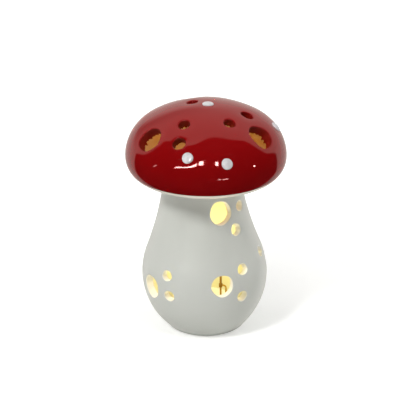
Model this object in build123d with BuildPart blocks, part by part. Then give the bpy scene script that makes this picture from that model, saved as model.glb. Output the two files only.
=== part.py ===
from build123d import *
from math import asin, atan2, cos, degrees, pi, radians, sin, sqrt, tan
import os

# A pierced ceramic mushroom with a battery light unit in its base.
# Millimetres. The origin is on the table under the cap's axis, +Z is up and -Y is the front.

os.makedirs("parts", exist_ok=True)

# Cap: a hollow casting turned about the Z axis
cap_dia = 102.0
cap_widest_height = 116.5
cap_dome_rise = 34.0
cap_shoulder_arc = 27.3
cap_roll_arc = 10.5
cap_wall = 5.0
cap_mouth_dia = 34.0
cap_large_hole_dia = 16.4
cap_small_hole_dia = 8.0

# Stem: a hollow casting turned about an axis that leans to the left
stem_dia = 81.0
stem_widest_height = 35.5
stem_lean_angle = 1.4
neck_waist_dia = 45.6
neck_waist_height = 127.6
stem_wall = 5.0
stem_floor = 8.0
stem_large_hole_dia = 15.0
stem_small_hole_dia = 7.7
foot_rim_width = 3.7
foot_chamfer = 0.8

# The hollows are turned in straight steps along the skin's curves, this many to each arc
crown_steps = 2
shoulder_steps = 2
roll_steps = 1
belly_steps = 4
neck_steps = 2

# Holes, cut by hand in short strokes, so each is a slightly uneven oval
large_hole_stroke_count = 12
small_hole_stroke_count = 9
cut_wobble_share = 0.025
cut_wobble_lobe_count = 3
cut_reach_share = 0.25

# Raised dots of slip on the cap
dot_dia = 7.1
dot_rise = 1.2

# Base opening and the light unit that plugs into it
unit_setback = 1.5
flange_lip = 1.3
flange_gap = 0.4
housing_wall = 1.4
unit_floor = 2.6
cover_thickness = 1.4
cover_head_room = 0.6
grip_height = 2.8
grip_thickness = 0.57
grip_gap = 0.03

# Coin cell, lying flat over the battery door
cell_dia = 20.0
cell_height = 3.2
cell_cap_dia = 17.6
cell_cap_height = 0.4
cell_gap = 0.2

# Battery door and its screw
door_thickness = 1.4
door_ledge = 1.6
door_corner = 1.2
door_gap = 0.15
door_tab_width = 6.4
screw_ledge = 1.6
screw_dia = 1.8
screw_length = 4.6
screw_head_dia = 3.4
screw_head_height = 0.8
screw_head_recess = 0.9
screw_gap = 0.06
screw_slot_width = 0.6
screw_slot_depth = 0.4
screw_boss_dia = 4.4

# Contacts of the cell
contact_thickness = 0.3
side_contact_width = 5.0
side_contact_gap = 0.05
leaf_width = 4.6
leaf_root = 3.6
leaf_pad = 3.0
leaf_slope = 2.2
leaf_tip_rise = 0.5

# Circuit board, switch and resistor
board_thickness = 1.2
board_lift = 1.7
board_side_gap = 0.4
board_post_dia = 3.0
board_post_inset = 0.9
board_post_angle = 52.0
switch_length = 8.6
switch_width = 3.6
switch_cell_gap = 1.8
switch_wall_gap = 1.4
switch_travel = 2.0
slider_length = 2.0
slider_width = 1.5
slider_recess = 0.4
slider_head = 1.4
slider_gap = 0.15
resistor_dia = 2.4
resistor_length = 6.3
resistor_leg = 0.6
resistor_leg_reach = 1.4
resistor_inset = 10.6

# Light emitting diode, its leads and the sleeve that joins them
lead_dia = 1.2
lead_sides = 8
lead_inset = 3.5
lead_spacing = 3.5
lead_y = -4.0
lead_hole_gap = 0.15
sleeve_start = 25.0
sleeve_bulb_dia = 2.4
sleeve_bulb_height = 2.4
sleeve_dia = 1.5
sleeve_bend = 7.0
sleeve_bend_share = 0.45
lamp_shift_x = -5.0
lamp_shift_y = 2.0
lamp_lead_rise = 4.0
boot_start = 42.0
boot_dia = 4.2
boot_length = 3.6
boot_taper = 1.6
lamp_dia = 5.0
lamp_flange_dia = 5.8
lamp_flange_height = 1.0
lamp_height = 8.6
lamp_leg = 0.5
lamp_leg_spacing = 2.54
lamp_leg_length = 1.6

# One overrun serves all cuts
overrun = 1.0

# Places of the holes and dots. Azimuth runs from the front (-Y) towards +X, in degrees.
# On the cap the second number is the tilt of the skin's normal above level, in degrees,
# and on the stem it is the height as a share of the height of the cap's seat.
# The last two are the hole's width and height as shares of its nominal diameter.
cap_large_hole_shares = [
    (-56.0, 47.0, 1.00, 1.00),
    (57.0, 51.0, 0.96, 1.03),
    (176.0, 46.0, 1.00, 0.97),
]
cap_small_hole_shares = [
    (-32.0, 69.2, 0.94, 0.97),
    (-25.0, 55.0, 1.06, 1.12),
    (-125.0, 81.6, 1.00, 0.90),
    (35.0, 69.5, 0.95, 0.98),
    (76.5, 68.6, 1.00, 1.08),
    (-158.0, 68.0, 1.00, 1.00),
    (146.0, 60.0, 1.04, 0.96),
]
stem_large_hole_shares = [
    (16.8, 0.395, 0.95, 0.96),
    (98.0, 0.405, 1.00, 0.97),
    (-158.0, 0.370, 0.98, 1.03),
    (-58.0, 0.328, 1.03, 1.03),
    (25.5, 0.813, 0.98, 1.04),
    (-140.0, 0.800, 1.00, 1.00),
]
stem_small_hole_shares = [
    (39.8, 0.467, 1.04, 0.98),
    (36.6, 0.300, 1.02, 1.00),
    (76.0, 0.495, 0.95, 0.95),
    (121.0, 0.340, 1.00, 1.05),
    (-134.0, 0.300, 1.00, 1.00),
    (178.0, 0.455, 1.03, 0.97),
    (-37.4, 0.442, 1.00, 0.93),
    (-34.1, 0.316, 1.04, 0.96),
    (60.7, 0.815, 1.03, 0.92),
    (44.2, 0.695, 1.07, 1.07),
    (-172.0, 0.765, 1.00, 1.00),
    (-121.0, 0.700, 0.96, 1.04),
]
cap_dot_places = [
    (-14.0, 35.0),
    (15.5, 27.0),
    (0.0, 90.0),
    (91.0, 38.0),
    (-128.0, 32.0),
    (142.0, 30.0),
]

# Curves of the cap's skin: crown, shoulder and lower roll, each tangent to the next
cap_radius = cap_dia / 2
shoulder_centre = cap_radius - cap_shoulder_arc
roll_centre = cap_radius - cap_roll_arc
crown_arc = (shoulder_centre**2 + cap_dome_rise**2 - cap_shoulder_arc**2) / (
    2 * (cap_dome_rise - cap_shoulder_arc)
)
crown_centre_height = cap_widest_height + cap_dome_rise - crown_arc
crown_tilt = degrees(atan2(cap_widest_height - crown_centre_height, shoulder_centre))
seat_height = cap_widest_height - cap_roll_arc

# Light unit: the coin cell, the switch beside it and the walls round them set its diameters
cell_opening_radius = cell_dia / 2 + cell_gap
housing_inner_radius = cell_opening_radius + switch_cell_gap + switch_width + switch_wall_gap
housing_dia = 2 * (housing_inner_radius + housing_wall)
unit_bore_dia = housing_dia + 2 * (grip_thickness + grip_gap)
flange_dia = unit_bore_dia + 2 * flange_lip
unit_recess_dia = flange_dia + 2 * flange_gap

# Curves of the stem's skin: a round belly, standing on a foot round the light unit, and
# tangent to a long hollow neck
lean = radians(stem_lean_angle)
foot_dia = unit_recess_dia + 2 * foot_rim_width
belly_swell = (stem_dia - foot_dia) / 2
stem_belly_arc = (belly_swell**2 + stem_widest_height**2) / (2 * belly_swell)
belly_centre = stem_dia / 2 - stem_belly_arc
neck_offset = neck_waist_dia / 2 - belly_centre
neck_height_gap = neck_waist_height - stem_widest_height
neck_arc = (neck_offset**2 + neck_height_gap**2 - stem_belly_arc**2) / (
    2 * (stem_belly_arc - neck_offset)
)
neck_centre = neck_waist_dia / 2 + neck_arc
neck_tilt = degrees(atan2(neck_height_gap, neck_centre - belly_centre))
neck_join_height = stem_widest_height + stem_belly_arc * sin(radians(neck_tilt))
stem_length = seat_height / cos(lean)

# The stem's own frame, leaning to the left about the origin
stem_up = Vector(-sin(lean), 0, cos(lean))
stem_right = Vector(cos(lean), 0, sin(lean))
stem_frame = Plane(origin=(0, 0, 0), x_dir=stem_right, z_dir=stem_up)
stem_side = Plane(origin=(0, 0, 0), x_dir=stem_right, z_dir=(0, -1, 0))
stem_axis = Axis(origin=(0, 0, 0), direction=stem_up)
neck_x = -seat_height * tan(lean)


def stepped_arc(centre, radius, start, end, steps):
    """Corners of an arc taken in straight steps between two angles in degrees."""
    angles = [radians(start + (end - start) * step / steps) for step in range(steps + 1)]
    return [(centre[0] + radius * cos(angle), centre[1] + radius * sin(angle)) for angle in angles]


def cap_section():
    """Half section of the cap's outer shape, all arcs."""
    with BuildSketch() as section:
        with BuildLine():
            crown = CenterArc((0, crown_centre_height), crown_arc, 90, crown_tilt - 90)
            CenterArc((shoulder_centre, cap_widest_height), cap_shoulder_arc, crown_tilt, -crown_tilt)
            roll = CenterArc((roll_centre, cap_widest_height), cap_roll_arc, 0, -90)
            Polyline(roll @ 1, (0, seat_height), crown @ 0)
        make_face()
    return section.sketch


def cap_hollow_section():
    """Half section of the cap's hollow: the skin's curves one wall further in, in straight steps."""
    widest = cap_widest_height
    crown = stepped_arc((0, crown_centre_height), crown_arc - cap_wall, 90, crown_tilt, crown_steps)
    shoulder = stepped_arc(
        (shoulder_centre, widest), cap_shoulder_arc - cap_wall, crown_tilt, 0, shoulder_steps
    )
    roll = stepped_arc((roll_centre, widest), cap_roll_arc - cap_wall, 0, -90, roll_steps)
    with BuildSketch() as section:
        with BuildLine():
            Polyline(*crown, *shoulder[1:], *roll[1:], (0, seat_height + cap_wall), close=True)
        make_face()
    return section.sketch


def stem_section(low, high):
    """Half section of the stem's outer shape between two heights, all arcs."""
    low_angle = degrees(asin((low - stem_widest_height) / stem_belly_arc))
    high_angle = degrees(asin((neck_waist_height - high) / neck_arc))
    with BuildSketch() as section:
        with BuildLine():
            belly = CenterArc(
                (belly_centre, stem_widest_height), stem_belly_arc, low_angle, neck_tilt - low_angle
            )
            neck = CenterArc(
                (neck_centre, neck_waist_height), neck_arc, 180 + neck_tilt, high_angle - neck_tilt
            )
            Polyline(neck @ 1, (0, high), (0, low), belly @ 0)
        make_face()
    return section.sketch


def stem_hollow_section(low, high):
    """Half section of the stem's hollow between two heights, one wall further in, in straight steps."""
    belly_radius = stem_belly_arc - stem_wall
    neck_radius = neck_arc + stem_wall
    low_angle = degrees(asin((low - stem_widest_height) / belly_radius))
    high_angle = degrees(asin((neck_waist_height - high) / neck_radius))
    belly_spot = (belly_centre, stem_widest_height)
    neck_spot = (neck_centre, neck_waist_height)
    belly = stepped_arc(belly_spot, belly_radius, low_angle, neck_tilt, belly_steps)
    neck = stepped_arc(neck_spot, neck_radius, 180 + neck_tilt, 180 + high_angle, neck_steps)
    with BuildSketch() as section:
        with BuildLine():
            Polyline(*belly, *neck[1:], (0, high), (0, low), close=True)
        make_face()
    return section.sketch


def skin_plane(frame, azimuth, radius, height, tilt):
    """Plane on a turned skin, its Z pointing straight out and its X level."""
    turn = radians(azimuth)
    rise = radians(tilt)
    spot = Vector(radius * sin(turn), -radius * cos(turn), height)
    level = Vector(cos(turn), sin(turn), 0)
    out = Vector(cos(rise) * sin(turn), -cos(rise) * cos(turn), sin(rise))
    return Plane(
        frame.from_local_coords(spot),
        x_dir=frame.from_local_coords(level),
        z_dir=frame.from_local_coords(out),
    )


def cap_skin(azimuth, tilt):
    """Plane on the cap's skin where its normal has this tilt."""
    rise = radians(tilt)
    if tilt > crown_tilt:
        radius = crown_arc * cos(rise)
        height = crown_centre_height + crown_arc * sin(rise)
    else:
        radius = shoulder_centre + cap_shoulder_arc * cos(rise)
        height = cap_widest_height + cap_shoulder_arc * sin(rise)
    return skin_plane(Plane.XY, azimuth, radius, height, tilt)


def stem_skin(azimuth, height_share):
    """Plane on the stem's skin at this share of the height of the cap's seat."""
    height = seat_height * height_share
    if height > neck_join_height:
        rise = asin((neck_waist_height - height) / neck_arc)
        radius = neck_centre - neck_arc * cos(rise)
    else:
        rise = asin((height - stem_widest_height) / stem_belly_arc)
        radius = belly_centre + stem_belly_arc * cos(rise)
    return skin_plane(stem_frame, azimuth, radius, height, degrees(rise))


def hand_cut(width, tall, strokes, start):
    """Corners of a hole cut in short strokes, its radius wobbling a little from a starting phase."""
    corners = []
    for stroke in range(strokes):
        angle = 2 * pi * stroke / strokes
        wobble = 1 + cut_wobble_share * cos(cut_wobble_lobe_count * angle + start)
        corners.append((width / 2 * wobble * cos(angle), tall / 2 * wobble * sin(angle)))
    return corners


def hand_cut_holes(shares, dia, strokes, skin, wall):
    """Plane, corners and cutting depth of each hole in a table of shares."""
    holes = []
    for azimuth, place, width_share, tall_share in shares:
        corners = hand_cut(dia * width_share, dia * tall_share, strokes, azimuth)
        holes.append((skin(azimuth, place), corners, wall + dia * cut_reach_share))
    return holes


def slip_dot(azimuth, tilt):
    """Low dome on the cap's skin, its underside shaped to the skin that it sits on."""
    place = cap_skin(azimuth, tilt)
    dome_ball = (dot_dia**2 / 4 + dot_rise**2) / (2 * dot_rise)
    if tilt > crown_tilt:
        seat_ball = crown_arc
    else:
        seat_ball = cap_shoulder_arc + shoulder_centre / cos(radians(tilt))
    with BuildPart() as dot:
        with Locations(place.offset(dot_rise - dome_ball)):
            Sphere(dome_ball)
        with Locations(place.offset(-seat_ball)):
            Sphere(seat_ball, mode=Mode.SUBTRACT)
    return dot.part


# The cap, hollow, with a mouth in its underside over the neck
cap_holes = hand_cut_holes(
    cap_large_hole_shares, cap_large_hole_dia, large_hole_stroke_count, cap_skin, cap_wall
)
cap_holes += hand_cut_holes(
    cap_small_hole_shares, cap_small_hole_dia, small_hole_stroke_count, cap_skin, cap_wall
)
with BuildPart() as cap:
    with BuildSketch(Plane.XZ):
        add(cap_section())
    revolve(axis=Axis.Z)
    with BuildSketch(Plane.XZ):
        add(cap_hollow_section())
    revolve(axis=Axis.Z, mode=Mode.SUBTRACT)
    with BuildSketch(Plane.XY.offset(seat_height - overrun)):
        with Locations((neck_x, 0)):
            Circle(cap_mouth_dia / 2)
    extrude(amount=cap_wall + 2 * overrun, mode=Mode.SUBTRACT)
    for place, corners, reach in cap_holes:
        with BuildSketch(place):
            with BuildLine():
                Polyline(*corners, close=True)
            make_face()
        extrude(amount=reach, both=True, mode=Mode.SUBTRACT)
cap.part.label = "cap"
export_step(cap.part, "parts/cap.step")

# Raised dots of slip, spread over the cap
with BuildPart() as cap_dots:
    for azimuth, tilt in cap_dot_places:
        add(slip_dot(azimuth, tilt))
cap_dots.part.label = "cap_dots"
export_step(cap_dots.part, "parts/cap_dots.step")

# The stem, hollow, open at the neck and at the base
unit_top_of_floor = unit_setback + unit_floor
stem_holes = hand_cut_holes(
    stem_large_hole_shares, stem_large_hole_dia, large_hole_stroke_count, stem_skin, stem_wall
)
stem_holes += hand_cut_holes(
    stem_small_hole_shares, stem_small_hole_dia, small_hole_stroke_count, stem_skin, stem_wall
)
with BuildPart() as stem:
    with BuildSketch(stem_side):
        add(stem_section(-overrun, stem_length + overrun))
    revolve(axis=stem_axis)
    with BuildSketch(stem_side):
        add(stem_hollow_section(stem_floor, stem_length + 2 * overrun))
    revolve(axis=stem_axis, mode=Mode.SUBTRACT)
    split(bisect_by=Plane.XY, keep=Keep.TOP)
    split(bisect_by=Plane.XY.offset(seat_height), keep=Keep.BOTTOM)
    foot_edge = stem.edges().group_by(Axis.Z)[0].sort_by(SortBy.LENGTH)[-1]
    chamfer(foot_edge, foot_chamfer)
    with BuildSketch(Plane.XY):
        Circle(unit_bore_dia / 2)
    extrude(amount=stem_floor + overrun, mode=Mode.SUBTRACT)
    with BuildSketch(Plane.XY):
        Circle(unit_recess_dia / 2)
    extrude(amount=unit_top_of_floor, mode=Mode.SUBTRACT)
    for place, corners, reach in stem_holes:
        with BuildSketch(place):
            with BuildLine():
                Polyline(*corners, close=True)
            make_face()
        extrude(amount=reach, both=True, mode=Mode.SUBTRACT)
stem.part.label = "stem"
export_step(stem.part, "parts/stem.step")

# Levels of the light unit, from its underside up
door_top = unit_setback + door_thickness
cell_top = door_top + cell_height
board_bottom = cell_top + board_lift
board_top = board_bottom + board_thickness
cover_bottom = board_top + resistor_leg / 2 + resistor_dia + cover_head_room

# Places of the door, its screw, the switch, the posts and what stands on the board
door_side = 2 * (cell_opening_radius + door_ledge)
screw_x = door_side / 2 + screw_ledge
switch_y = switch_width / 2 + switch_wall_gap - housing_inner_radius
post_reach = housing_inner_radius - board_post_dia / 2 - board_post_inset
post_x = post_reach * cos(radians(board_post_angle))
post_y = post_reach * sin(radians(board_post_angle))
board_radius = housing_inner_radius - board_side_gap
resistor_y = board_radius - resistor_inset
second_lead_x = board_radius - lead_inset
lead_x = second_lead_x - lead_spacing
lamp_x = lead_x + lamp_shift_x
lamp_y = lead_y + lamp_shift_y

# Housing: a flanged cup with wells for the cell, the door, the screw and the switch knob
slot_length = slider_length + switch_travel + 2 * slider_gap
slot_width = slider_width + 2 * slider_gap
with BuildPart() as light_housing:
    with BuildSketch(Plane.XY.offset(unit_setback)):
        Circle(flange_dia / 2)
    extrude(amount=unit_floor)
    with BuildSketch(Plane.XY.offset(unit_top_of_floor)):
        Circle(housing_dia / 2)
        Circle(housing_inner_radius, mode=Mode.SUBTRACT)
    extrude(amount=cover_bottom - unit_top_of_floor)
    with BuildSketch(Plane.XY.offset(unit_top_of_floor)):
        with Locations((-post_x, post_y), (post_x, post_y)):
            Circle(board_post_dia / 2)
        with Locations((screw_x, 0)):
            Circle(screw_boss_dia / 2)
    extrude(amount=board_bottom - unit_top_of_floor)
    with BuildSketch(Plane.XY.offset(unit_setback)):
        RectangleRounded(door_side + 2 * door_gap, door_side + 2 * door_gap, door_corner + door_gap)
        with Locations((screw_x / 2, 0)):
            Rectangle(screw_x, door_tab_width + 2 * door_gap)
        with Locations((screw_x, 0)):
            Circle(door_tab_width / 2 + door_gap)
    extrude(amount=door_thickness, mode=Mode.SUBTRACT)
    with BuildSketch(Plane.XY.offset(door_top)):
        Circle(cell_opening_radius)
    extrude(amount=unit_floor, mode=Mode.SUBTRACT)
    with BuildSketch(Plane.XY.offset(door_top)):
        with Locations((screw_x, 0)):
            Circle(screw_dia / 2 + screw_gap)
    extrude(amount=screw_length, mode=Mode.SUBTRACT)
    with BuildSketch(Plane.XY.offset(unit_setback)):
        with Locations((0, switch_y)):
            Rectangle(slot_length, slot_width)
    extrude(amount=unit_floor, mode=Mode.SUBTRACT)
light_housing.part.label = "light_housing"
export_step(light_housing.part, "parts/light_housing.step")

# Cover welded on the housing's rim, with a hole for each lead
with BuildPart() as light_cover:
    with BuildSketch(Plane.XY.offset(cover_bottom)):
        Circle(housing_dia / 2)
        with Locations((lead_x, lead_y), (second_lead_x, lead_y)):
            Circle(lead_dia / 2 + lead_hole_gap, mode=Mode.SUBTRACT)
    extrude(amount=cover_thickness)
light_cover.part.label = "light_cover"
export_step(light_cover.part, "parts/light_cover.step")

# Rubber ring round the housing, gripping the bore of the base
with BuildPart() as grip_ring:
    with BuildSketch(Plane.XY.offset(unit_top_of_floor)):
        Circle(unit_bore_dia / 2 - grip_gap)
        Circle(housing_dia / 2, mode=Mode.SUBTRACT)
    extrude(amount=grip_height)
grip_ring.part.label = "grip_ring"
export_step(grip_ring.part, "parts/grip_ring.step")

# Battery door with a tab for its screw
with BuildPart() as battery_door:
    with BuildSketch(Plane.XY.offset(unit_setback)):
        RectangleRounded(door_side, door_side, door_corner)
        with Locations((screw_x / 2, 0)):
            Rectangle(screw_x, door_tab_width)
        with Locations((screw_x, 0)):
            Circle(door_tab_width / 2)
            Circle(screw_dia / 2 + screw_gap, mode=Mode.SUBTRACT)
    extrude(amount=door_thickness)
    with BuildSketch(Plane.XY.offset(unit_setback)):
        with Locations((screw_x, 0)):
            Circle(screw_head_dia / 2 + screw_gap)
    extrude(amount=screw_head_recess, mode=Mode.SUBTRACT)
battery_door.part.label = "battery_door"
export_step(battery_door.part, "parts/battery_door.step")

# Door screw, its slotted head seated in the door and its shank up in the boss
screw_seat = unit_setback + screw_head_recess
with BuildPart() as door_screw:
    with BuildSketch(Plane.XY.offset(screw_seat)):
        with Locations((screw_x, 0)):
            Circle(screw_dia / 2)
    extrude(amount=screw_length)
    with BuildSketch(Plane.XY.offset(screw_seat)):
        with Locations((screw_x, 0)):
            Circle(screw_head_dia / 2)
    extrude(amount=-screw_head_height)
    with BuildSketch(Plane.XY.offset(screw_seat - screw_head_height)):
        with Locations((screw_x, 0)):
            Rectangle(screw_head_dia, screw_slot_width)
    extrude(amount=screw_slot_depth, mode=Mode.SUBTRACT)
door_screw.part.label = "door_screw"
export_step(door_screw.part, "parts/door_screw.step")

# Coin cell, its smaller negative cap upwards
with BuildPart() as coin_cell:
    with BuildSketch(Plane.XY.offset(door_top)):
        Circle(cell_dia / 2)
    extrude(amount=cell_height - cell_cap_height)
    with BuildSketch(Plane.XY.offset(cell_top)):
        Circle(cell_cap_dia / 2)
    extrude(amount=-cell_cap_height)
coin_cell.part.label = "coin_cell"
export_step(coin_cell.part, "parts/coin_cell.step")

# Side contact: a strip hanging from the board beside the cell's can
side_contact_face = -cell_dia / 2 - side_contact_gap
with BuildPart() as side_contact:
    with BuildSketch(Plane.XY.offset(unit_top_of_floor)):
        with Locations((side_contact_face - contact_thickness / 2, 0)):
            Rectangle(contact_thickness, side_contact_width)
    extrude(amount=board_bottom - unit_top_of_floor)
side_contact.part.label = "side_contact"
export_step(side_contact.part, "parts/side_contact.step")

# Leaf contact: a sprung strip from the board down to the cell's cap
leaf_low = cell_top + contact_thickness / 2
leaf_high = board_bottom - contact_thickness / 2
with BuildPart() as leaf_contact:
    with BuildSketch(Plane.XZ):
        with BuildLine() as leaf_path:
            Polyline(
                (-leaf_pad / 2 - leaf_slope - leaf_root, leaf_high),
                (-leaf_pad / 2 - leaf_slope, leaf_high),
                (-leaf_pad / 2, leaf_low),
                (leaf_pad / 2, leaf_low),
                (leaf_pad / 2 + leaf_tip_rise, leaf_low + leaf_tip_rise),
            )
        trace(leaf_path.line, contact_thickness)
    extrude(amount=leaf_width / 2, both=True)
leaf_contact.part.label = "leaf_contact"
export_step(leaf_contact.part, "parts/leaf_contact.step")

# Circuit board on the posts, the screw boss and the switch
with BuildPart() as circuit_board:
    with BuildSketch(Plane.XY.offset(board_bottom)):
        Circle(board_radius)
    extrude(amount=board_thickness)
circuit_board.part.label = "circuit_board"
export_step(circuit_board.part, "parts/circuit_board.step")

# Slide switch between the floor and the board, with a pocket for its slider
slider_top = unit_top_of_floor + slider_head
with BuildPart() as switch_body:
    with BuildSketch(Plane.XY.offset(unit_top_of_floor)):
        with Locations((0, switch_y)):
            Rectangle(switch_length, switch_width)
    extrude(amount=board_bottom - unit_top_of_floor)
    with BuildSketch(Plane.XY.offset(unit_top_of_floor)):
        with Locations((0, switch_y)):
            Rectangle(slot_length, slot_width)
    extrude(amount=slider_head + slider_gap, mode=Mode.SUBTRACT)
switch_body.part.label = "switch_body"
export_step(switch_body.part, "parts/switch_body.step")

# Slider of the switch, at its ON end, its knob down in the floor's slot
slider_x = switch_travel / 2
slider_bottom = unit_setback + slider_recess
with BuildPart() as switch_slider:
    with BuildSketch(Plane.XY.offset(slider_bottom)):
        with Locations((slider_x, switch_y)):
            Rectangle(slider_length, slider_width)
    extrude(amount=slider_top - slider_bottom)
switch_slider.part.label = "switch_slider"
export_step(switch_slider.part, "parts/switch_slider.step")

# Resistor lying on the board, its legs bent down to it
resistor_height = board_top + resistor_dia / 2 + resistor_leg / 2
leg_out = resistor_length / 2 + resistor_leg_reach
with BuildPart() as resistor:
    with BuildSketch(Plane.YZ.offset(-resistor_length / 2)):
        with Locations((resistor_y, resistor_height)):
            Circle(resistor_dia / 2)
    extrude(amount=resistor_length)
    with BuildSketch(Plane.XZ.offset(-resistor_y)):
        with BuildLine() as leg_path:
            Polyline(
                (-leg_out, board_top),
                (-leg_out, resistor_height),
                (leg_out, resistor_height),
                (leg_out, board_top),
            )
        trace(leg_path.line, resistor_leg)
    extrude(amount=resistor_leg / 2, both=True)
resistor.part.label = "resistor"
export_step(resistor.part, "parts/resistor.step")

# First lead: straight up from the board into the sleeve's bulb
with BuildPart() as straight_lead:
    with BuildSketch(Plane.XY.offset(board_top)):
        with Locations((lead_x, lead_y)):
            RegularPolygon(lead_dia / 2, lead_sides)
    extrude(amount=sleeve_start - board_top)
straight_lead.part.label = "straight_lead"
export_step(straight_lead.part, "parts/straight_lead.step")

# Second lead: up beside the first, then arching over into the side of the bulb
bulb_middle = sleeve_start + sleeve_bulb_height / 2
bulb_side_x = lead_x + sleeve_bulb_dia / 2
arch_radius = second_lead_x - bulb_side_x
with BuildPart() as arched_lead:
    with BuildLine() as arch_path:
        rise = Line(
            (second_lead_x, lead_y, board_top), (second_lead_x, lead_y, bulb_middle - arch_radius)
        )
        TangentArc(rise @ 1, (bulb_side_x, lead_y, bulb_middle), tangent=(0, 0, 1))
    with BuildSketch(Plane.XY.offset(board_top)):
        with Locations((second_lead_x, lead_y)):
            RegularPolygon(lead_dia / 2, lead_sides)
    sweep(path=arch_path.line)
arched_lead.part.label = "arched_lead"
export_step(arched_lead.part, "parts/arched_lead.step")

# Sleeve over both leads: a bulb, a bent tube and a boot under the lamp
bulb_top = sleeve_start + sleeve_bulb_height
bend_low = bulb_top + sleeve_bend
bend_high = bend_low + lamp_lead_rise
shorter_run = min(sleeve_bend, boot_start - bend_high)
bend_turn = atan2(sqrt((lead_x - lamp_x) ** 2 + (lead_y - lamp_y) ** 2), lamp_lead_rise)
bend_radius = sleeve_bend_share * shorter_run / tan(bend_turn / 2)
with BuildPart() as lead_sleeve:
    with BuildSketch(Plane.XY.offset(sleeve_start)):
        with Locations((lead_x, lead_y)):
            Circle(sleeve_bulb_dia / 2)
    extrude(amount=sleeve_bulb_height)
    with BuildLine() as sleeve_path:
        FilletPolyline(
            (lead_x, lead_y, bulb_top),
            (lead_x, lead_y, bend_low),
            (lamp_x, lamp_y, bend_high),
            (lamp_x, lamp_y, boot_start),
            radius=bend_radius,
        )
    with BuildSketch(Plane.XY.offset(bulb_top)):
        with Locations((lead_x, lead_y)):
            RegularPolygon(sleeve_dia / 2, lead_sides)
    sweep(path=sleeve_path.line)
    with Locations((lamp_x, lamp_y, boot_start)):
        Cone(sleeve_dia / 2, boot_dia / 2, boot_taper, align=(Align.CENTER, Align.CENTER, Align.MIN))
    with BuildSketch(Plane.XY.offset(boot_start + boot_taper)):
        with Locations((lamp_x, lamp_y)):
            Circle(boot_dia / 2)
    extrude(amount=boot_length - boot_taper)
lead_sleeve.part.label = "lead_sleeve"
export_step(lead_sleeve.part, "parts/lead_sleeve.step")

# Lamp: a round-topped diode with a flange and two square legs
boot_top = boot_start + boot_length
flange_low = boot_top + lamp_leg_length
lamp_radius = lamp_dia / 2
lamp_shoulder = flange_low + lamp_height - lamp_radius
with BuildPart() as lamp:
    with BuildSketch(Plane.XY.offset(flange_low)):
        with Locations((lamp_x, lamp_y)):
            Circle(lamp_flange_dia / 2)
    extrude(amount=lamp_flange_height)
    with BuildSketch(Plane.XY.offset(flange_low)):
        with Locations((lamp_x, lamp_y)):
            Circle(lamp_radius)
    extrude(amount=lamp_height - lamp_radius)
    with Locations((lamp_x, lamp_y, lamp_shoulder)):
        Sphere(lamp_radius, arc_size1=0)
    with BuildSketch(Plane.XY.offset(boot_top)):
        with Locations((lamp_x, lamp_y)):
            with GridLocations(lamp_leg_spacing, 0, 2, 1):
                Rectangle(lamp_leg, lamp_leg)
    extrude(amount=lamp_leg_length)
lamp.part.label = "lamp"
export_step(lamp.part, "parts/lamp.step")
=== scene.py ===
import bpy
import numpy as np
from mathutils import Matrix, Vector, geometry


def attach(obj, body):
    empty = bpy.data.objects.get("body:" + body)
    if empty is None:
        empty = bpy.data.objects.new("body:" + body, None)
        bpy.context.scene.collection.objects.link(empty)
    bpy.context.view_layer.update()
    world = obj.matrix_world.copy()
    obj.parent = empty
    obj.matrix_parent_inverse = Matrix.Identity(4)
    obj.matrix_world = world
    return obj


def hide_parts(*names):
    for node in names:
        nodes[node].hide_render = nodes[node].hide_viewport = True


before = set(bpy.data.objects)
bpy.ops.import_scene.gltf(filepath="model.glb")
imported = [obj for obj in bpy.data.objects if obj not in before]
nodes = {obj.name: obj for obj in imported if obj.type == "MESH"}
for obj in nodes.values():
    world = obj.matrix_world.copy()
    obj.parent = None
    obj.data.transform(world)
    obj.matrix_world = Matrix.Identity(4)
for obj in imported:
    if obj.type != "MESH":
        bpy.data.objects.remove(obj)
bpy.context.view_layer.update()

# Camera: a long lens looking down on the mushroom, as a maker's catalogue shows it.
# It is a little off the middle of the frame, so the lens is shifted and not turned.
camera_data = bpy.data.cameras.new("camera")
camera_data.lens = 148.3
camera_data.sensor_width = 36.0
camera_data.shift_x = 0.0050
camera_data.shift_y = 0.0251
camera = bpy.data.objects.new("camera", camera_data)
bpy.context.scene.collection.objects.link(camera)
camera_pitch = np.radians(24.3)
camera_away = 1.1
aim_height = 0.072
camera.location = (0.0, -camera_away * np.cos(camera_pitch), aim_height + camera_away * np.sin(camera_pitch))
camera.rotation_euler = (np.pi / 2 - camera_pitch, 0.0, 0.0)
bpy.context.scene.camera = camera

# Stem: a hollow pear of white earthenware, slip cast, pierced by hand while leather hard
# and dipped in clear white glaze. It leans a little to the left, and its foot is
# recessed for the light unit.
MM = 0.001


def arc_run(arcs):
    """Distance along the skin at the start of each arc, and past the last one."""
    return np.concatenate(([0.0], np.cumsum([arc[2] * abs(arc[4] - arc[3]) for arc in arcs])))


def skin(arcs, run, azimuth, depth):
    """Points of a turned skin.

    run is the distance along the outer curve from its top, azimuth turns from the front
    towards the right, and depth is measured square to the outer skin, into the clay.
    Each arc is (centre radius, centre height, radius, start angle, end angle, side), and
    side is 1 where the skin bulges and -1 where it is hollow.
    """
    run, azimuth, depth = np.broadcast_arrays(run, azimuth, depth)
    starts = arc_run(arcs)
    which = np.clip(np.searchsorted(starts, run, side="right") - 1, 0, len(arcs) - 1)
    table = np.array(arcs)[which]
    turn = np.sign(table[..., 4] - table[..., 3])
    angle = table[..., 3] + turn * (run - starts[which]) / table[..., 2]
    reach = table[..., 2] - table[..., 5] * depth
    radius = table[..., 0] + reach * np.cos(angle)
    height = table[..., 1] + reach * np.sin(angle)
    return np.stack([radius * np.sin(azimuth), -radius * np.cos(azimuth), height], axis=-1)


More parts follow.
